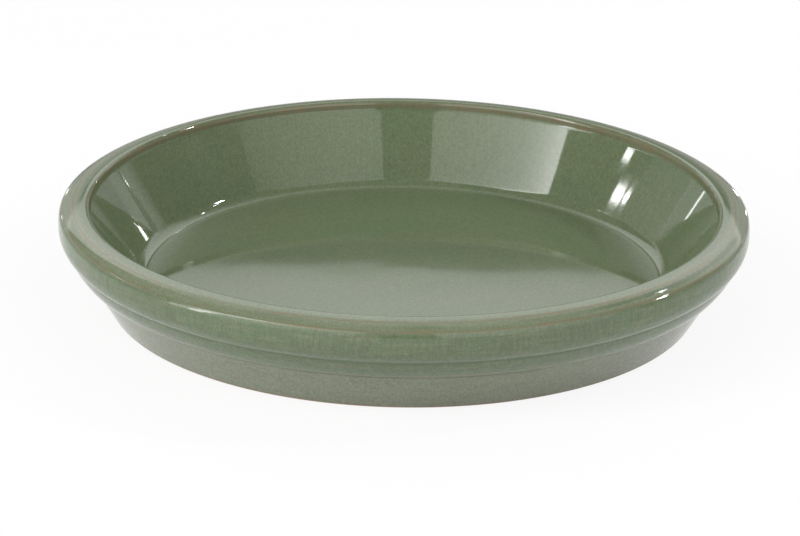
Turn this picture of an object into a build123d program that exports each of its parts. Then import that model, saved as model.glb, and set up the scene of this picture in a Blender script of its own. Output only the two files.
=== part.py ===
from build123d import *
import os

# Plant saucer: a round dish of thick fired clay with a glaze fused over it.
# Millimetres, +Z up, origin at the centre of the foot, on the surface that it stands on.

# Overall sizes
rim_outer_radius = 150.0
saucer_height = 44.0

# Foot ring and the recess inside it
foot_ring_width = 12.0
foot_recess_depth = 2.0
foot_bevel_run = 2.5
foot_edge_round = 1.5

# Floor and wall of the dish
floor_thickness = 7.0
wall_width_at_floor = 12.8
cove_round = 8.0

# Rim: a rolled band, widest below its middle, with a top that falls outwards
rim_width = 13.5
rim_depth = 16.7
rim_widest_drop = 9.0
shoulder_inset = 0.5
shoulder_drop = 3.4
shoulder_round = 3.2
lip_round = 1.9
lip_depth = 3.9
lip_foot_round = 3.0

# Groove under the rim, and the collar below it
groove_depth = 3.5
groove_round = 1.2
collar_height = 8.5
collar_taper = 5.5
collar_bulge = 0.55

# Step from the collar in to the lower wall, and how far that wall leans in on its way down
wall_lean = 10.9
step_width = 2.1
step_rise = 0.4
step_edge_round = 0.9
step_root_round = 0.6

# Glaze, wiped off in a line above the foot
glaze_thickness = 0.5
glaze_line_height = 0.6

# How far helper shapes run past what they cut
overrun = 5.0

# Places that follow from the sizes, as (radius, height) in the section
groove = (rim_outer_radius - groove_depth, saucer_height - rim_depth)
collar_foot = (groove[0] - collar_taper, groove[1] - collar_height)
wall_top = (collar_foot[0] - step_width, collar_foot[1] - step_rise)
foot_outer_radius = wall_top[0] - wall_lean
foot_inner_radius = foot_outer_radius - foot_ring_width
foot_middle_radius = foot_outer_radius - foot_ring_width / 2
floor_height = foot_recess_depth + floor_thickness
floor_corner = (foot_outer_radius - wall_width_at_floor, floor_height)
widest = (rim_outer_radius, saucer_height - rim_widest_drop)
shoulder = (rim_outer_radius - shoulder_inset, saucer_height - shoulder_drop)
lip_foot = (rim_outer_radius - rim_width, saucer_height - lip_depth)
lip_top = (lip_foot[0], saucer_height - lip_round)
crest = (lip_foot[0] + lip_round, saucer_height)

# The rim's underside is an arc that stands upright at the widest place.
rim_underside_height = widest[1] - groove[1]
rim_underside_radius = (groove_depth**2 + rim_underside_height**2) / (2 * groove_depth)

os.makedirs("parts", exist_ok=True)


def round_corner(sketch, corner, radius):
    """Rounds the corner of a sketch that lies nearest to a point."""
    fillet(sketch.vertices().sort_by_distance(corner)[0], radius=radius)


def trim_by_rectangle(left, bottom, right, top, mode=Mode.INTERSECT):
    """Keeps what lies inside a rectangle of the sketch that is being made, or takes it away."""
    Polygon((left, bottom), (right, bottom), (right, top), (left, top), align=None, mode=mode)


# Half of the glazed saucer in section. It runs past the axis, so that it can be set back evenly.
with BuildSketch() as saucer_section:
    with BuildLine():
        Polyline(
            (-overrun, floor_height),
            (-overrun, foot_recess_depth),
            (foot_inner_radius - foot_bevel_run, foot_recess_depth),
            (foot_inner_radius, 0),
            (foot_outer_radius, 0),
            wall_top,
            collar_foot,
        )
        SagittaArc(collar_foot, groove, -collar_bulge)
        RadiusArc(groove, widest, -rim_underside_radius)
        TangentArc(widest, shoulder, tangent=(0, 1))
        TangentArc(crest, shoulder, tangent=(1, 0))
        TangentArc(crest, lip_top, tangent=(-1, 0))
        Polyline(lip_top, lip_foot, floor_corner, (-overrun, floor_height))
    make_face()
    round_corner(saucer_section, (foot_outer_radius, 0), foot_edge_round)
    round_corner(saucer_section, collar_foot, step_edge_round)
    round_corner(saucer_section, shoulder, shoulder_round)
    round_corner(saucer_section, lip_foot, lip_foot_round)
    round_corner(saucer_section, floor_corner, cove_round)

# The clay's section is set back evenly for the glaze, which then pools in the step and the groove.
with BuildSketch() as set_back_section:
    add(saucer_section.sketch)
    offset(amount=-glaze_thickness)
with BuildSketch() as pooled_section:
    add(saucer_section.sketch)
    round_corner(pooled_section, wall_top, step_root_round)
    round_corner(pooled_section, groove, groove_round)

# The glaze fills what was set back, above the wiped line. The underside is bare.
with BuildSketch() as glaze_section:
    add(pooled_section.sketch)
    add(set_back_section.sketch, mode=Mode.SUBTRACT)
    trim_by_rectangle(0, glaze_line_height, rim_outer_radius + overrun, saucer_height + overrun)
    trim_by_rectangle(-overrun, -overrun, foot_middle_radius, floor_height - floor_thickness / 2, mode=Mode.SUBTRACT)
with BuildSketch() as clay_section:
    add(saucer_section.sketch)
    trim_by_rectangle(0, -overrun, rim_outer_radius + overrun, saucer_height + overrun)
    add(glaze_section.sketch, mode=Mode.SUBTRACT)

# Clay body: floor, wall, rolled rim and foot ring, thrown or pressed in one piece and fired.
with BuildPart() as clay_body:
    with BuildSketch(Plane.XZ):
        add(clay_section.sketch)
    revolve(axis=Axis.Z)

# Glaze: a glassy coat over the inside, the rim and the outer wall, down to the wiped line.
with BuildPart() as glaze_coat:
    with BuildSketch(Plane.XZ):
        add(glaze_section.sketch)
    revolve(axis=Axis.Z)

clay_body.part.label = "clay_body"
glaze_coat.part.label = "glaze_coat"
export_step(clay_body.part, "parts/clay_body.step")
export_step(glaze_coat.part, "parts/glaze_coat.step")
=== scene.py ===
import math

import bpy
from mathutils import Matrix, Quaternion, Vector


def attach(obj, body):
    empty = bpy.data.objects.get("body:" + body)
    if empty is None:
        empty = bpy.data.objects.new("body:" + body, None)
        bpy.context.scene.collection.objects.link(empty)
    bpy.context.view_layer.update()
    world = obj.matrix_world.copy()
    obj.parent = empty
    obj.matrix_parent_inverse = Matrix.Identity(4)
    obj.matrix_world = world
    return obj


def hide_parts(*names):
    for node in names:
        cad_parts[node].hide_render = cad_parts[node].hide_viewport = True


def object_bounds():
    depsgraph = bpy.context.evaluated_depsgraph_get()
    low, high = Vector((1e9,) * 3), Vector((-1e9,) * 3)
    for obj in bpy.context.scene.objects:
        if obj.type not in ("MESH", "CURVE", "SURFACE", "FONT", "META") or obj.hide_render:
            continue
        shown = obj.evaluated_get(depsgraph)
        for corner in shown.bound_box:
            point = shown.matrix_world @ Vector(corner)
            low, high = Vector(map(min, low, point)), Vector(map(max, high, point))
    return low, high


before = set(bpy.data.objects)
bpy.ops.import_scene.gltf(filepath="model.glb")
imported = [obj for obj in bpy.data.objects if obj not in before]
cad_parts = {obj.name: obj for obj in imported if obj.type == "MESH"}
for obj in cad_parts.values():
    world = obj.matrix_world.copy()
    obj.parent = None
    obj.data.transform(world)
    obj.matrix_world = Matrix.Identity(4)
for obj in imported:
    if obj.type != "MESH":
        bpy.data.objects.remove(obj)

cad_low, cad_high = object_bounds()
mm = 0.001

# The camera, 1.6 m away and 21 degrees above the table, level with the saucer's middle.
# It is rolled a little to the left, so the saucer's right side hangs lower in the picture.
camera_distance = 1.6
camera_elevation = math.radians(21.22)
camera_roll = math.radians(0.888)
camera_target = Vector((-0.00148, 0.0041, 0.01056))

camera_data = bpy.data.cameras.new("photo camera")
camera_data.sensor_width = 36.0
camera_data.lens = 164.16
camera = bpy.data.objects.new("photo camera", camera_data)
bpy.context.scene.collection.objects.link(camera)
camera.location = (
    0.0,
    -camera_distance * math.cos(camera_elevation),
    camera_distance * math.sin(camera_elevation),
)
camera.rotation_mode = "QUATERNION"
aim = (camera_target - camera.location).to_track_quat("-Z", "Y")
camera.rotation_quaternion = aim @ Quaternion((0, 0, 1), camera_roll)
bpy.context.scene.camera = camera


# The clay body: one dish of coarse buff clay, turned on a wheel with its foot, wall and
# rolled rim in one piece, then fired. The glaze hides it, apart from the foot and the
# recess under the floor, which stay bare so that the saucer doesn't stick to the kiln's shelf.

# The section's sizes, in millimetres. A place in it is (radius, height).
rim_radius = cad_high.x / mm
height = cad_high.z / mm
recess_depth = 2.0
foot_inner_radius = 116.0
foot_outer_radius = 128.0
foot_bevel = 2.5
foot_bevel_round = 0.3
foot_edge_round = 1.5
glaze_thickness = 0.5
glaze_line = 0.6
floor_height = 9.0
wall_top = (rim_radius - 11.1, 18.4)
step = (rim_radius - 9.0, 18.8)
groove = (rim_radius - 3.5, height - 16.7)
widest = (rim_radius, height - 9.0)
shoulder = (rim_radius - 0.5, height - 3.4)
crest = (rim_radius - 11.6, height)
lip = (rim_radius - 13.5, height - 3.9)
floor_corner = (115.2, floor_height)
step_root_round = 0.6
step_edge_round = 0.9
collar_bulge = 0.55
groove_round = 1.2
shoulder_round = 3.2
lip_round = 1.9
lip_foot_round = 3.0
cove_round = 8.0


def arc(centre, radius, start, end, steps):
    """Corners along an arc of the section, from one angle to another, in degrees."""
    turns = [math.radians(start + (end - start) * i / steps) for i in range(steps + 1)]
    return [(centre[0] + radius * math.cos(a), centre[1] + radius * math.sin(a), 0.0) for a in turns]


def bowed(start, end, sagitta, steps):
    """Corners along a shallow arc from start to end, which bows out to its right by sagitta."""
    along = Vector(end) - Vector(start)
    side = Vector((along.y, -along.x)).normalized()
    radius = along.length_squared / (8 * sagitta) + sagitta / 2
    centre = (Vector(start) + Vector(end)) / 2 - side * (radius - sagitta)
    first = math.degrees(math.atan2(start[1] - centre.y, start[0] - centre.x))
    last = math.degrees(math.atan2(end[1] - centre.y, end[0] - centre.x))
    return arc(centre, radius, first, last, steps)


def rim_section():
    """The rolled rim's corners: underside, outer face, shoulder and the top that falls outwards."""
    rise = widest[1] - groove[1]
    run = widest[0] - groove[0]
    under_radius = (run**2 + rise**2) / (2 * run)
    under_turn = math.degrees(math.asin(rise / under_radius))
    inset = widest[0] - shoulder[0]
    drop = shoulder[1] - widest[1]
    outer_radius = (inset**2 + drop**2) / (2 * inset)
    run = shoulder[0] - crest[0]
    drop = crest[1] - shoulder[1]
    top_radius = (run**2 + drop**2) / (2 * drop)
    # The shoulder's rounding touches the outer face and the top from inside.
    outer_centre = Vector((widest[0] - outer_radius, widest[1]))
    top_centre = Vector((crest[0], crest[1] - top_radius))
    a = outer_radius - shoulder_round
    b = top_radius - shoulder_round
    apart = top_centre - outer_centre
    along = (a**2 - b**2 + apart.length_squared) / (2 * apart.length)
    across = math.sqrt(a**2 - along**2)
    unit = apart.normalized()
    centre = outer_centre + unit * along + Vector((-unit.y, unit.x)) * across
    outer_turn = math.degrees(math.atan2(centre.y - outer_centre.y, centre.x - outer_centre.x))
    top_turn = math.degrees(math.atan2(centre.y - top_centre.y, centre.x - top_centre.x))
    under = arc((widest[0] - under_radius, widest[1]), under_radius, -under_turn, 0, 12)
    outer = arc(outer_centre, outer_radius, 0, outer_turn, 5)
    round_over = arc(centre, shoulder_round, outer_turn, top_turn, 8)
    top = arc(top_centre, top_radius, top_turn, 90, 12)
    return under[1:] + outer[1:] + round_over[1:] + top[1:]


def foot_edge():
    """The rounded outer edge of the foot: its bare corners, and those above the glaze line."""
    slope = math.atan2(wall_top[1], wall_top[0] - foot_outer_radius)
    centre = (foot_outer_radius - foot_edge_round * math.tan(slope / 2), foot_edge_round)
    line_turn = math.degrees(math.asin(glaze_line / foot_edge_round - 1))
    bare = arc(centre, foot_edge_round, -90, line_turn, 3)
    glazed = arc(centre, foot_edge_round, line_turn, math.degrees(slope) - 90, 2)
    return bare, glazed


def straight(start, end, start_margin, end_margin, steps):
    """Corners inside a straight run, with one near each end, so that it is shaded as straight."""
    along = Vector(end) - Vector(start)
    length = along.length
    reach = length - start_margin - end_margin
    places = [(start_margin + reach * i / steps) / length for i in range(steps + 1)]
    return [(start[0] + along.x * place, start[1] + along.y * place, 0.0) for place in places]


def outside_line():
    """The glazed surface's corners (radius, height, rounding), from the glaze line to the axis."""
    collar = bowed(step, groove, collar_bulge, 9)
    foot = foot_edge()[1]
    line = foot + straight(foot[-1][:2], wall_top, 0.25, 0.5, 3)
    line += [(*wall_top, step_root_round), (*step, step_edge_round), *collar[1:-1], (*groove, groove_round)]
    line += rim_section()
    line += arc((crest[0], height - lip_round), lip_round, 90, 180, 8)[1:]
    line += [(*lip, lip_foot_round)] + straight(lip, floor_corner, 1.2, 4.5, 4)
    line += [(*floor_corner, cove_round)] + straight(floor_corner, (0, floor_height), 4.5, 10.0, 5)
    line += [(0.0, floor_height, 0.0)]
    return line


def set_back(line, depth):
    """The same line moved into the clay by the glaze's thickness."""
    moved = []
    for i, (radius, level, rounding) in enumerate(line):
        before = Vector(line[max(i - 1, 0)][:2])
        here = Vector((radius, level))
        after = Vector(line[min(i + 1, len(line) - 1)][:2])
        sides = [Vector((-d.y, d.x)).normalized() for d in (here - before, after - here) if d.length > 0]
        middle = sum(sides, Vector((0, 0))).normalized()
        here += middle * depth / middle.dot(sides[0])
        bend = (here - before).cross(after - here) if len(sides) == 2 else 0.0
        new_rounding = max(rounding - math.copysign(depth, bend), 0.0) if rounding else 0.0
        moved.append((max(here.x, 0.0), here.y, new_rounding))
    return moved


def section_mesh(name, line):
    """A line of edges, in metres, which carries each corner's rounding.

    Its heights point down, because the wheel's rail turns them up.
    """
    mesh = bpy.data.meshes.new(name)
    points = [(radius * mm, -level * mm, 0.0) for radius, level, rounding in line]
    mesh.from_pydata(points, [(i, i + 1) for i in range(len(points) - 1)], [])
    rounding = mesh.attributes.new("rounding", "FLOAT", "POINT")
    rounding.data.foreach_set("value", [corner[2] * mm for corner in line])
    return mesh


def put(tree, kind, inputs, **settings):
    """Adds a node to a tree. Each of its inputs gets a value, or a link from another node's output."""
    node = tree.nodes.new(kind)
    for key, value in settings.items():
        setattr(node, key, value)
    for key, value in inputs.items():
        if isinstance(value, bpy.types.NodeSocket):
            tree.links.new(value, node.inputs[key])
        else:
            node.inputs[key].default_value = value
    return node


def calc(tree, operation, first, second):
    """One sum on two numbers, as a Math node."""
    return put(tree, "ShaderNodeMath", {0: first, 1: second}, operation=operation).outputs[0]


def between(tree, value, low, high, out_low=0.0, out_high=1.0):
    """Eases a value from out_low to out_high as it goes from low to high."""
    inputs = {"Value": value, "From Min": low, "From Max": high, "To Min": out_low, "To Max": out_high}
    return put(tree, "ShaderNodeMapRange", inputs, interpolation_type="SMOOTHSTEP").outputs["Result"]


def potters_wheel():
    """A tree that rounds a section's corners, turns it about Z and makes it a little uneven."""
    tree = bpy.data.node_groups.new("potter's wheel", "GeometryNodeTree")
    tree.is_modifier = True
    kinds = {
        "Section": "Geometry",
        "Steps Around": "Int",
        "Steps per Rounding": "Int",
        "Rail Radius": "Float",
        "Out of Round": "Float",
        "Lobe Size": "Float",
        "Seed": "Int",
        "Finish": "Material",
    }
    for name, kind in kinds.items():
        tree.interface.new_socket(name, in_out="INPUT", socket_type="NodeSocket" + kind)
    tree.interface.new_socket("Geometry", in_out="OUTPUT", socket_type="NodeSocketGeometry")
    given = tree.nodes.new("NodeGroupInput").outputs

    line = put(tree, "GeometryNodeMeshToCurve", {"Mesh": given["Section"]}).outputs["Curve"]
    rounding = put(tree, "GeometryNodeInputNamedAttribute", {"Name": "rounding"}, data_type="FLOAT")
    fillet = {
        "Curve": line,
        "Count": given["Steps per Rounding"],
        "Radius": rounding.outputs["Attribute"],
        "Limit Radius": True,
    }
    line = put(tree, "GeometryNodeFilletCurve", fillet, mode="POLY").outputs["Curve"]

    # The section is set on a round rail, so its radius is taken from the rail inwards.
    inwards = calc(tree, "MULTIPLY", given["Rail Radius"], -1.0)
    shift = put(tree, "ShaderNodeCombineXYZ", {"X": inwards}).outputs[0]
    line = put(tree, "GeometryNodeSetPosition", {"Geometry": line, "Offset": shift}).outputs[0]
    ring = {"Resolution": given["Steps Around"], "Radius": given["Rail Radius"]}
    rail = put(tree, "GeometryNodeCurvePrimitiveCircle", ring).outputs["Curve"]
    shape = put(tree, "GeometryNodeCurveToMesh", {"Curve": rail, "Profile Curve": line}).outputs["Mesh"]
    shape = put(tree, "GeometryNodeMergeByDistance", {"Geometry": shape, "Distance": 0.01 * mm}).outputs[0]

    # Slow lobes pull the rim in here and there, by up to the given amount.
    place = put(tree, "GeometryNodeInputPosition", {}).outputs[0]
    per_size = calc(tree, "DIVIDE", 1.0, given["Lobe Size"])
    settings = {"Vector": place, "W": given["Seed"], "Scale": per_size, "Detail": 0.0}
    lobes = put(tree, "ShaderNodeTexNoise", settings, noise_dimensions="4D").outputs["Fac"]
    settings = {"Value": lobes, "From Min": 0.25, "From Max": 0.75, "To Min": 0.0, "To Max": -1.0}
    amount = put(tree, "ShaderNodeMapRange", settings).outputs["Result"]
    amount = calc(tree, "MULTIPLY", amount, given["Out of Round"])
    spot = put(tree, "ShaderNodeSeparateXYZ", {0: place}).outputs
    flat = put(tree, "ShaderNodeCombineXYZ", {"X": spot["X"], "Y": spot["Y"]}).outputs[0]
    radius = put(tree, "ShaderNodeVectorMath", {0: flat}, operation="LENGTH").outputs["Value"]
    direction = put(tree, "ShaderNodeVectorMath", {0: flat}, operation="NORMALIZE").outputs[0]
    pull = calc(tree, "MULTIPLY", amount, between(tree, radius, 0.6 * rim_radius * mm, rim_radius * mm))
    offset = put(tree, "ShaderNodeVectorMath", {0: direction, "Scale": pull}, operation="SCALE").outputs[0]
    shape = put(tree, "GeometryNodeSetPosition", {"Geometry": shape, "Offset": offset}).outputs[0]

    # The rail leaves the faces pointing inwards.
    shape = put(tree, "GeometryNodeFlipFaces", {"Mesh": shape}).outputs[0]
    shape = put(tree, "GeometryNodeSetShadeSmooth", {"Geometry": shape}).outputs[0]
    shape = put(tree, "GeometryNodeRealizeInstances", {"Geometry": shape}).outputs[0]
    shape = put(tree, "GeometryNodeSetMaterial", {"Geometry": shape, "Material": given["Finish"]}).outputs[0]
    put(tree, "NodeGroupOutput", {"Geometry": shape})
    return tree


wheel = potters_wheel()
rail_radius = 0.1
unevenness = {"Out of Round": 0.0003, "Lobe Size": 0.12, "Seed": 7}


def turn(name, line, finish, steps_around, steps_per_rounding):
    """Turns a section on the wheel and gives back the piece as a plain mesh."""
    sizes = {"Steps Around": steps_around, "Steps per Rounding": steps_per_rounding}
    blank = bpy.data.objects.new(name + " section", section_mesh(name + " section", line))
    bpy.context.scene.collection.objects.link(blank)
    modifier = blank.modifiers.new("wheel", "NODES")
    modifier.node_group = wheel
    values = {"Rail Radius": rail_radius, **unevenness, "Finish": finish, **sizes}
    for item in wheel.interface.items_tree:
        if item.in_out == "INPUT" and item.name in values:
            modifier[item.identifier] = values[item.name]
    evaluated = blank.evaluated_get(bpy.context.evaluated_depsgraph_get())
    mesh = bpy.data.meshes.new_from_object(evaluated)
    blank.modifiers.remove(modifier)
    bpy.data.objects.remove(blank)
    mesh.name = name
    piece = bpy.data.objects.new(name, mesh)
    bpy.context.scene.collection.objects.link(piece)
    return piece


def place_in_section(tree):
    """Where a point of the surface lies: Object coordinates, and its distance from the axis."""
    place = put(tree, "ShaderNodeTexCoord", {}).outputs["Object"]
    spot = put(tree, "ShaderNodeSeparateXYZ", {0: place}).outputs
    flat = put(tree, "ShaderNodeCombineXYZ", {"X": spot["X"], "Y": spot["Y"]}).outputs[0]
    radius = put(tree, "ShaderNodeVectorMath", {0: flat}, operation="LENGTH").outputs["Value"]
    return place, spot, radius


def shader_group(name, inputs, output):
    """An empty shader group with number sockets, and what it is given."""
    tree = bpy.data.node_groups.new(name, "ShaderNodeTree")
    for key in inputs:
        tree.interface.new_socket(key, in_out="INPUT", socket_type="NodeSocketFloat")
    tree.interface.new_socket(output, in_out="OUTPUT", socket_type="NodeSocketFloat")
    return tree, tree.nodes.new("NodeGroupInput").outputs


def turned_grain():
    """A shader group: grain that the wheel has drawn out around the axis, or across that way."""
    tree, given = shader_group("turned grain", ("Around", "Across", "Detail", "Seed"), "Value")
    place, spot, radius = place_in_section(tree)
    drawn = {
        "X": calc(tree, "DIVIDE", spot["X"], given["Around"]),
        "Y": calc(tree, "DIVIDE", spot["Y"], given["Around"]),
        "Z": calc(tree, "DIVIDE", spot["Z"], given["Across"]),
    }
    drawn = put(tree, "ShaderNodeCombineXYZ", drawn).outputs[0]
    ring = calc(tree, "ADD", calc(tree, "DIVIDE", radius, given["Across"]), given["Seed"])
    settings = {"Vector": drawn, "W": ring, "Scale": 1.0, "Detail": given["Detail"], "Roughness": 0.6}
    noise = put(tree, "ShaderNodeTexNoise", settings, noise_dimensions="4D").outputs["Fac"]
    put(tree, "NodeGroupOutput", {"Value": noise})
    return tree


grain_group = turned_grain()


def grain(tree, around, across, detail, seed):
    """Grain in a material, from 0 to 1, with its sizes in metres."""
    values = {"Around": around, "Across": across, "Detail": detail, "Seed": seed}
    return put(tree, "ShaderNodeGroup", values, node_tree=grain_group).outputs["Value"]


def blend(tree, amount, first, second, kind="MIX"):
    """Mixes two colours, each given as a colour or as a node's output."""
    node = tree.nodes.new("ShaderNodeMix")
    node.data_type = "RGBA"
    node.blend_type = kind
    for place, value in ((0, amount), (6, first), (7, second)):
        if isinstance(value, bpy.types.NodeSocket):
            tree.links.new(value, node.inputs[place])
        else:
            node.inputs[place].default_value = value
    return node.outputs[2]


# Bare clay: matt, with rings from the turning tool, pale and dark grog, and open pores.
fired_dark = (0.36, 0.165, 0.09, 1)
fired_light = (0.43, 0.215, 0.125, 1)
tool_mark = (0.50, 0.29, 0.18, 1)
pale_grog = (0.62, 0.46, 0.33, 1)
dark_grog = (0.16, 0.075, 0.045, 1)
clay_finish = bpy.data.materials.new("bare fired clay")
clay_finish.use_nodes = True
tree = clay_finish.node_tree
clay_surface = tree.nodes["Principled BSDF"]
clay_surface.inputs["Specular IOR Level"].default_value = 0.3
cloud = grain(tree, 0.04, 0.02, 2.0, 1.0)
rings = grain(tree, 0.09, 0.0011, 2.0, 2.0)
grog = grain(tree, 0.0007, 0.0007, 2.0, 3.0)
pores = grain(tree, 0.0005, 0.0005, 1.0, 4.0)
colour = blend(tree, between(tree, cloud, 0.35, 0.65), fired_dark, fired_light)
colour = blend(tree, between(tree, rings, 0.45, 0.7, 0.0, 0.35), colour, tool_mark)
colour = blend(tree, between(tree, grog, 0.62, 0.72, 0.0, 0.6), colour, pale_grog)
colour = blend(tree, between(tree, grog, 0.36, 0.28, 0.0, 0.7), colour, dark_grog)
tree.links.new(colour, clay_surface.inputs["Base Color"])
tree.links.new(between(tree, cloud, 0.3, 0.7, 0.78, 0.92), clay_surface.inputs["Roughness"])
open_pores = calc(tree, "MULTIPLY", between(tree, pores, 0.4, 0.3), -0.5)
relief = calc(tree, "ADD", calc(tree, "ADD", calc(tree, "MULTIPLY", rings, 0.8), grog), open_pores)
clay_bump = put(tree, "ShaderNodeBump", {"Height": relief, "Distance": 0.00012})
tree.links.new(clay_bump.outputs[0], clay_surface.inputs["Normal"])

glaze_outside = outside_line()
glaze_inside = set_back(glaze_outside, glaze_thickness)
underside = [(0.0, recess_depth, 0.0), (foot_inner_radius - foot_bevel, recess_depth, foot_bevel_round)]
underside += [(foot_inner_radius, 0.0, foot_bevel_round)] + foot_edge()[0]
clay_body = turn("clay_dish", underside + glaze_inside, clay_finish, 256, 4)
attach(clay_body, "root")
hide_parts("clay_body")


# The glaze: a glassy green coat about half a millimetre thick, melted on in the kiln. It runs
# thin over every edge and breaks there to brown, lies deeper and greener in the groove and
# the step, and stops just above the foot, where it was wiped off before firing.
dish_green = (0.132, 0.166, 0.090, 1)
rim_green = (0.114, 0.148, 0.087, 1)
deep_green = (0.110, 0.157, 0.082, 1)
thin_green = (0.172, 0.180, 0.110, 1)
# Painted light: this lighter green on the rim's top stands in for light falling on it from above.
top_green_painted_light = (0.185, 0.215, 0.135, 1)
# Painted light: this lighter, greyer green on the outer wall below the step stands in for light bounced and
# reflected from the white table.
low_green_painted_bounce = (0.188, 0.208, 0.146, 1)
pool_green = (0.066, 0.104, 0.050, 1)
thin_brown = (0.190, 0.165, 0.100, 1)
rust = (0.235, 0.150, 0.080, 1)


def thin_line():
    """A shader group: an uneven, broken line round the saucer, where the glaze lies thin."""
    tree, given = shader_group("thin line", ("Radius", "Height", "Width", "Broken", "Seed"), "Mask")
    place, spot, radius = place_in_section(tree)
    out = calc(tree, "SUBTRACT", radius, given["Radius"])
    up = calc(tree, "SUBTRACT", spot["Z"], given["Height"])
    away = put(tree, "ShaderNodeCombineXYZ", {"X": out, "Y": up}).outputs[0]
    away = put(tree, "ShaderNodeVectorMath", {0: away}, operation="LENGTH").outputs["Value"]
    noises = []
    for scale in (450.0, 60.0, 14.0):
        settings = {"Vector": place, "W": given["Seed"], "Detail": 2.0, "Scale": scale}
        noises.append(put(tree, "ShaderNodeTexNoise", settings, noise_dimensions="4D").outputs["Fac"])
    ragged, wander, stretch = noises
    uneven = calc(tree, "ADD", calc(tree, "SUBTRACT", ragged, 0.5), calc(tree, "SUBTRACT", wander, 0.5))
    away = calc(tree, "ADD", away, calc(tree, "MULTIPLY", uneven, given["Width"]))
    line = calc(tree, "SUBTRACT", 1.0, calc(tree, "DIVIDE", away, given["Width"]))
    line = between(tree, line, 0.0, 0.8)
    missing = calc(tree, "MULTIPLY", between(tree, stretch, 0.55, 0.42), given["Broken"])
    mask = calc(tree, "MULTIPLY", line, calc(tree, "SUBTRACT", 1.0, missing))
    put(tree, "NodeGroupOutput", {"Mask": mask})
    return tree


thin_line_group = thin_line()


def line_round(tree, place, width, broken, seed):
    """A thin line at a place (radius, height) of the section, in millimetres."""
    values = {"Radius": place[0] * mm, "Height": place[1] * mm, "Width": width * mm}
    values = {**values, "Broken": broken, "Seed": seed}
    return put(tree, "ShaderNodeGroup", values, node_tree=thin_line_group).outputs["Mask"]


glaze_finish = bpy.data.materials.new("green glaze")
glaze_finish.use_nodes = True
tree = glaze_finish.node_tree
glaze_surface = tree.nodes["Principled BSDF"]
glaze_surface.inputs["IOR"].default_value = 1.5

# 1 on the rim and the outer wall, which have more texture, and 0 in the dish. The wall's
# middle leans out by 0.63 of its rise, so the radius less that share tells its two sides apart.
place, spot, radius = place_in_section(tree)
past_middle = calc(tree, "SUBTRACT", radius, calc(tree, "MULTIPLY", spot["Z"], 0.63))
outside = between(tree, past_middle, 0.1115, 0.116)

# The green, with slow patches, drawn-out streaks and a fine grain, and painted light: lighter on the rim's
# top, and lighter and greyer on the outer wall below the step.
patches = grain(tree, 0.045, 0.03, 3.0, 11.0)
streaks = grain(tree, 0.014, 0.0016, 3.0, 12.0)
runs = grain(tree, 0.0011, 0.007, 2.0, 13.0)
fine = grain(tree, 0.0007, 0.0007, 2.0, 14.0)
green = blend(tree, outside, dish_green, rim_green)
green = blend(tree, between(tree, patches, 0.38, 0.62, 0.0, 0.5), green, deep_green)
below_step = between(tree, spot["Z"], (step[1] + 0.4) * mm, (step[1] - 0.8) * mm)
on_top = between(tree, spot["Z"], (height - 4.5) * mm, (height - 1.5) * mm)
# Painted light: below the step the outer wall is made lighter and greyer, for bounce light and sheen from
# the white table.
green = blend(tree, calc(tree, "MULTIPLY", below_step, outside), green, low_green_painted_bounce)
# Painted light: the rim's top is made lighter, for light falling on it from above.
green = blend(tree, calc(tree, "MULTIPLY", on_top, outside), green, top_green_painted_light)
streaked = between(tree, streaks, 0.48, 0.66, 0.0, 0.5)
green = blend(tree, calc(tree, "MULTIPLY", streaked, outside), green, thin_green)
tone = calc(tree, "ADD", calc(tree, "MULTIPLY", fine, 0.6), calc(tree, "MULTIPLY", runs, 0.4))
tone = between(tree, tone, 0.25, 0.75, 0.74, 1.26)
tone = put(tree, "ShaderNodeCombineColor", {0: tone, 1: tone, 2: tone}).outputs[0]
green = blend(tree, 1.0, green, tone, kind="MULTIPLY")

# Deeper green where the glaze has pooled: in the groove, under the step and on the rim's top.
groove_pool = line_round(tree, (groove[0], groove[1] - 0.4), 1.6, 0.3, 21.0)
step_pool = line_round(tree, (wall_top[0], wall_top[1] - 0.6), 1.8, 0.5, 22.0)
top_pool = line_round(tree, (rim_radius - 4.2, height - 1.6), 1.7, 0.9, 23.0)
pooled = calc(tree, "MAXIMUM", calc(tree, "MAXIMUM", groove_pool, step_pool), top_pool)
colour = blend(tree, calc(tree, "MULTIPLY", pooled, 0.6), green, pool_green)

# Brown where it is thin: the lip's edge, two lines on the rim's top, the step's nose and the foot.
lip_edge = line_round(tree, (lip[0] + 0.4, height - 2.0), 2.2, 0.2, 31.0)
top_line = line_round(tree, (rim_radius - 6.5, height - 0.7), 0.8, 0.55, 32.0)
shoulder_line = line_round(tree, (rim_radius - 1.5, height - 2.9), 0.8, 0.6, 33.0)
nose = line_round(tree, (step[0] - 0.6, step[1] - 0.2), 2.4, 0.95, 34.0)
foot_line = line_round(tree, (foot_outer_radius, glaze_line), 0.8, 0.5, 35.0)
thin = lip_edge
for line in (top_line, shoulder_line, nose, foot_line):
    thin = calc(tree, "MAXIMUM", thin, line)
colour = blend(tree, calc(tree, "MULTIPLY", thin, 0.75), colour, thin_brown)
rust_specks = between(tree, grain(tree, 0.004, 0.0012, 2.0, 36.0), 0.55, 0.66)
colour = blend(tree, calc(tree, "MULTIPLY", calc(tree, "MULTIPLY", thin, rust_specks), 0.7), colour, rust)
tree.links.new(colour, glaze_surface.inputs["Base Color"])

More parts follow.
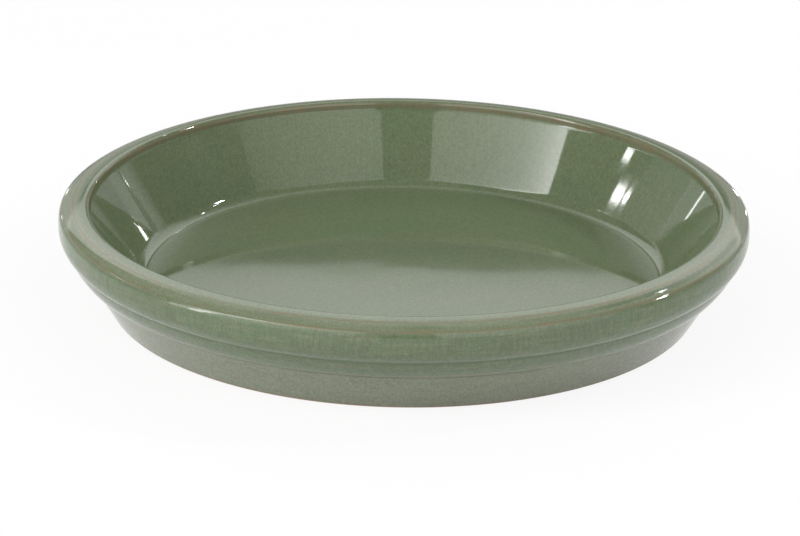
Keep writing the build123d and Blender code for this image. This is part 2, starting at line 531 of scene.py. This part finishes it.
# Glassy all over, and a little less so on the outside, which follows the clay's texture.
gloss = calc(tree, "MULTIPLY", calc(tree, "SUBTRACT", fine, 0.5), 0.03)
gloss = calc(tree, "ADD", between(tree, outside, 0.0, 1.0, 0.045, 0.06), gloss)
tree.links.new(gloss, glaze_surface.inputs["Roughness"])
slow_waves = grain(tree, 0.045, 0.045, 1.0, 41.0)
slow = put(tree, "ShaderNodeBump", {"Height": slow_waves, "Distance": 0.00007})
waves = calc(tree, "MULTIPLY", grain(tree, 0.014, 0.010, 1.0, 43.0), outside)
wavy = put(tree, "ShaderNodeBump", {"Height": waves, "Distance": 0.00006, "Normal": slow.outputs[0]})
peel = calc(tree, "ADD", grain(tree, 0.003, 0.003, 2.0, 42.0), calc(tree, "MULTIPLY", runs, 0.5))
peel = calc(tree, "MULTIPLY", peel, between(tree, outside, 0.0, 1.0, 0.12, 1.0))
close = put(tree, "ShaderNodeBump", {"Height": peel, "Distance": 0.00002, "Normal": wavy.outputs[0]})
tree.links.new(close.outputs[0], glaze_surface.inputs["Normal"])

glaze = turn("glaze", glaze_inside[::-1] + glaze_outside, glaze_finish, 400, 8)
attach(glaze, "root")
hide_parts("glaze_coat")


# The table: a plain white top, which reads as white to the camera and pale in the glaze, and
# keeps a faint shadow of the saucer. It shows nothing from below, so the foot can be looked at.
table_half = 0.65
table_white = (0.92, 0.92, 0.92, 1)
glow_to_camera = 0.88
glow_in_mirror = 0.6
table_mesh = bpy.data.meshes.new("table")
table_corners = [(-table_half, -table_half, 0), (table_half, -table_half, 0)]
table_corners += [(table_half, table_half, 0), (-table_half, table_half, 0)]
table_mesh.from_pydata(table_corners, [], [(0, 1, 2, 3)])
table = bpy.data.objects.new("table", table_mesh)
bpy.context.scene.collection.objects.link(table)

table_finish = bpy.data.materials.new("white table")
table_finish.use_nodes = True
tree = table_finish.node_tree
table_surface = tree.nodes["Principled BSDF"]
table_surface.inputs["Base Color"].default_value = table_white
table_surface.inputs["Roughness"].default_value = 0.9
table_surface.inputs["Specular IOR Level"].default_value = 0.0
glow = put(tree, "ShaderNodeEmission", {"Color": (1, 1, 1, 1), "Strength": 1.0})
ray = put(tree, "ShaderNodeLightPath", {})
mirrored = calc(tree, "MAXIMUM", ray.outputs["Is Glossy Ray"], ray.outputs["Is Transmission Ray"])
mirrored_glow = calc(tree, "MULTIPLY", mirrored, glow_in_mirror)
looked_at_glow = calc(tree, "MULTIPLY", ray.outputs["Is Camera Ray"], glow_to_camera)
share_of_glow = calc(tree, "MAXIMUM", looked_at_glow, mirrored_glow)
top = put(tree, "ShaderNodeMixShader", {0: share_of_glow, 1: table_surface.outputs[0], 2: glow.outputs[0]})
nothing = put(tree, "ShaderNodeBsdfTransparent", {})
from_below = put(tree, "ShaderNodeNewGeometry", {}).outputs["Backfacing"]
whole = put(tree, "ShaderNodeMixShader", {0: from_below, 1: top.outputs[0], 2: nothing.outputs[0]})
tree.links.new(whole.outputs[0], tree.nodes["Material Output"].inputs["Surface"])
table_mesh.materials.append(table_finish)


# The lights: large softboxes in front on both sides and one behind, dim ones that stand for
# the room's walls, and small bare lamps for the sharp highlights. Azimuth 0 is the camera's
# side and 90 the right, and both angles are those at which the saucer's middle sees the light.
softbox_distance = 1.3
wall_distance = 1.5
lamp_distance = 1.5
left_lamp_roll = 28.5


def area_light(name, width, height, brightness, place, rotation):
    """A flat lamp, as bright as a surface of that brightness, which the camera doesn't see."""
    data = bpy.data.lights.new(name, "AREA")
    data.shape = "RECTANGLE"
    data.size = width
    data.size_y = height
    data.energy = brightness * math.pi * width * height
    thing = bpy.data.objects.new(name, data)
    bpy.context.scene.collection.objects.link(thing)
    thing.location = place
    thing.rotation_mode = "QUATERNION"
    thing.rotation_quaternion = rotation
    thing.visible_camera = False
    return data


def lamp(name, azimuth, elevation, width, height, brightness, roll=0.0):
    """A small lamp that faces the saucer, rolled about the line to it by an angle in degrees."""
    a, e = math.radians(azimuth), math.radians(elevation)
    place = Vector((math.sin(a) * math.cos(e), -math.cos(a) * math.cos(e), math.sin(e))) * lamp_distance
    aim = (-place).to_track_quat("-Z", "Y") @ Quaternion((0, 0, 1), math.radians(roll))
    area_light(name, width, height, brightness, place, aim)


def brightness_curve(tree, place, profile):
    """Turns a place along the softbox, 0 to 1, into the brightness that its profile gives there."""
    ramp = put(tree, "ShaderNodeFloatCurve", {"Value": place})
    curve = ramp.mapping.curves[0]
    most = max(value for where, value in profile)
    for i, (where, value) in enumerate(profile):
        if i < 2:
            curve.points[i].location = (where, value / most)
        else:
            curve.points.new(where, value / most)
    ramp.mapping.update()
    return calc(tree, "MULTIPLY", ramp.outputs[0], most)


def softbox(name, facing, azimuths, elevations, distance, across, upwards):
    """An upright softbox that stands square to one azimuth, between two others and two elevations.

    Its brightness is the product of two profiles, which run from the first azimuth to the second
    and from bottom to top. A profile's first two corners are its ends.
    """
    turn_to = math.radians(facing)
    out = Vector((math.sin(turn_to), -math.cos(turn_to), 0.0))
    side = Vector((math.cos(turn_to), math.sin(turn_to), 0.0))
    start, end = (distance * math.tan(math.radians(azimuth - facing)) for azimuth in azimuths)
    low, high = (distance * math.tan(math.radians(elevation)) for elevation in elevations)
    place = out * distance + side * (start + end) / 2 + Vector((0, 0, (low + high) / 2))
    aim = (-out).to_track_quat("-Z", "Y")
    data = area_light(name, end - start, high - low, 1.0, place, aim)
    data.use_nodes = True
    tree = data.node_tree
    where = put(tree, "ShaderNodeNewGeometry", {}).outputs["Parametric"]
    spot = put(tree, "ShaderNodeSeparateXYZ", {0: where}).outputs
    level = brightness_curve(tree, spot["Y"], upwards)
    strength = calc(tree, "MULTIPLY", brightness_curve(tree, spot["X"], across), level)
    tree.links.new(strength, tree.nodes["Emission"].inputs["Strength"])


softbox(
    "left softbox", -45, (-76.5, -14), (38.5, 66), softbox_distance,
    [(0.0, 8.8), (1.0, 1.7), (0.08, 7.2), (0.17, 5.3), (0.26, 4.1), (0.38, 3.2), (0.6, 2.4), (0.8, 1.95)],
    [(0.0, 1.0), (1.0, 1.0)],
)
softbox(
    "left softbox, lower part", -45, (-76.5, -14), (-6, 38.5), softbox_distance,
    [(0.0, 4.7), (1.0, 1.6), (0.15, 3.0), (0.4, 2.0)], [(0.0, 1.0), (1.0, 0.8)],
)
softbox(
    "right softbox", 45, (12, 79), (-5, 66), softbox_distance,
    [(0.0, 1.4), (1.0, 0.45), (0.2, 1.45), (0.5, 1.25), (0.8, 0.9)],
    [(0.0, 1.25), (1.0, 1.0), (0.2, 1.15), (0.35, 0.95)],
)
softbox(
    "back softbox", 180, (128, 212), (21, 70), softbox_distance,
    [(0.0, 0.15), (1.0, 1.0), (0.25, 0.85), (0.5, 1.15), (0.8, 1.15)],
    [(0.0, 0.6), (1.0, 0.5), (0.15, 1.4), (0.35, 0.7)],
)
softbox(
    "wall behind, left", -155, (-172, -138), (0.5, 20), wall_distance,
    [(0.0, 0.45), (1.0, 0.7)], [(0.0, 0.8), (1.0, 1.1)],
)
softbox(
    "wall behind, middle", 176, (164, 188), (0.5, 19), wall_distance,
    [(0.0, 0.4), (1.0, 0.4)], [(0.0, 1.2), (1.0, 0.3)],
)
softbox(
    "wall behind, right", 151, (138, 164), (0.5, 21), wall_distance,
    [(0.0, 0.6), (1.0, 0.4)], [(0.0, 0.8), (1.0, 1.1)],
)
softbox(
    "left wall", -109, (-138, -80), (0.5, 27), wall_distance,
    [(0.0, 0.5), (1.0, 0.4)], [(0.0, 1.0), (1.0, 1.0)],
)
softbox(
    "right wall", 110, (76, 144), (0.5, 20), wall_distance,
    [(0.0, 0.0), (1.0, 0.0), (0.3, 0.55), (0.75, 0.55)], [(0.0, 1.2), (1.0, 0.0), (0.5, 1.0)],
)
lamp("right lamp", 103, 37.5, 0.1, 0.07, 170.0)
lamp("right lamp beside it", 113, 42, 0.07, 0.035, 60.0)
lamp("left strip light", -66, 20, 0.14, 0.75, 9.0)
lamp("left lamp", -105.8, 32.5, 0.08, 0.011, 30.0, left_lamp_roll)
lamp("left lamp below it", -109, 29.3, 0.12, 0.014, 30.0, left_lamp_roll)
lamp("left lamp beside it", -113.2, 27.3, 0.06, 0.006, 60.0, left_lamp_roll)
lamp("far left lamp", -147.5, 9, 0.03, 0.1, 6.0)
lamp("far left lamp beside it", -157, 3.5, 0.04, 0.1, 3.0)
lamp("far right lamp", 139, 44.5, 0.04, 0.03, 60.0)
lamp("right lamp by the wall", 137, 15.6, 0.01, 0.005, 30.0)
lamp("low right lamp", 153.5, 2.8, 0.03, 0.05, 40.0)
lamp("low right lamp beside it", 159.5, 1.2, 0.03, 0.05, 25.0)


# The room: dim near the ground and a little brighter overhead. It reads as plain white where
# the camera looks past the saucer, and that white adds no light to it.
room_low = 0.11
room_high = 0.17
world = bpy.data.worlds.new("studio")
bpy.context.scene.world = world
world.use_nodes = True
tree = world.node_tree
room = tree.nodes["Background"]
room.inputs["Color"].default_value = (1, 1, 1, 1)
direction = put(tree, "ShaderNodeTexCoord", {}).outputs["Generated"]
upward = put(tree, "ShaderNodeSeparateXYZ", {0: direction}).outputs["Z"]
tree.links.new(between(tree, upward, 0.3, 0.65, room_low, room_high), room.inputs["Strength"])
white = put(tree, "ShaderNodeBackground", {"Color": (1, 1, 1, 1), "Strength": 1.0})
looked_at = put(tree, "ShaderNodeLightPath", {}).outputs["Is Camera Ray"]
either = put(tree, "ShaderNodeMixShader", {0: looked_at, 1: room.outputs[0], 2: white.outputs[0]})
tree.links.new(either.outputs[0], tree.nodes["World Output"].inputs["Surface"])

bpy.context.scene.view_settings.view_transform = "Standard"
